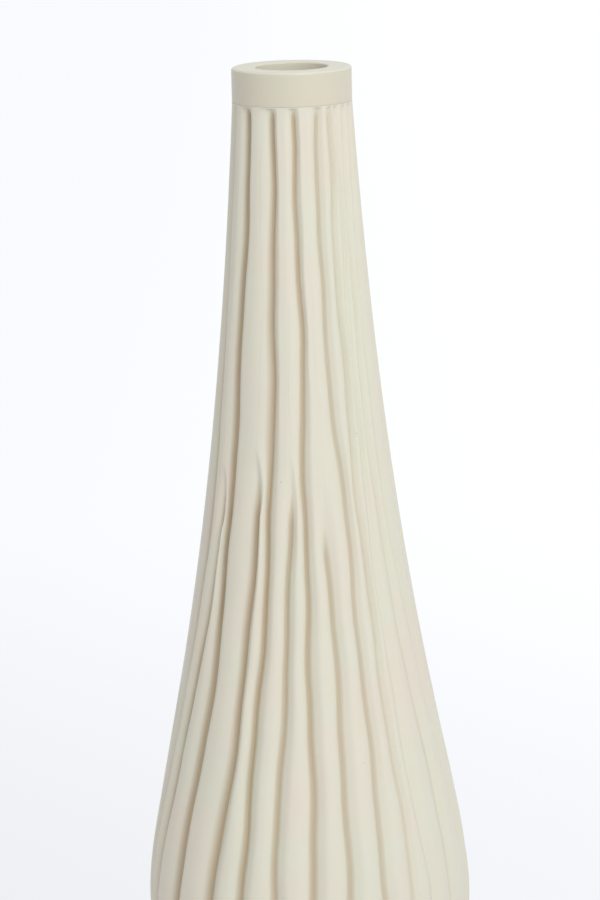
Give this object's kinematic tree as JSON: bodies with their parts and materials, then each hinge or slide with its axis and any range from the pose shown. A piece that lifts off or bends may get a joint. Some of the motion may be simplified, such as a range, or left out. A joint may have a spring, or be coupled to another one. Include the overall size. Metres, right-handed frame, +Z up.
{
  "type": "vase",
  "caption": "Tall bottle vase in carved glazed stoneware: slim neck, round belly, wandering vertical ribs, plain collar and round mouth.",
  "frame": {"origin": "on the table, under the middle of the foot", "axes": "+Z up along the vase's axis; -Y is the side that the picture shows, +X is its right"},
  "size_m": [0.1535, 0.1531, 0.5],
  "materials": {
    "glaze": "satin",
    "bare_clay": "matte",
    "felt": "matte"
  },
  "bodies": {
    "root": {"neck_body": "glaze", "belly_body": "glaze", "collar_ring": "glaze", "base_slab": "bare_clay", "foot_pad_1": "felt", "foot_pad_2": "felt", "foot_pad_3": "felt", "foot_pad_4": "felt"}
  },
  "joints": []
}
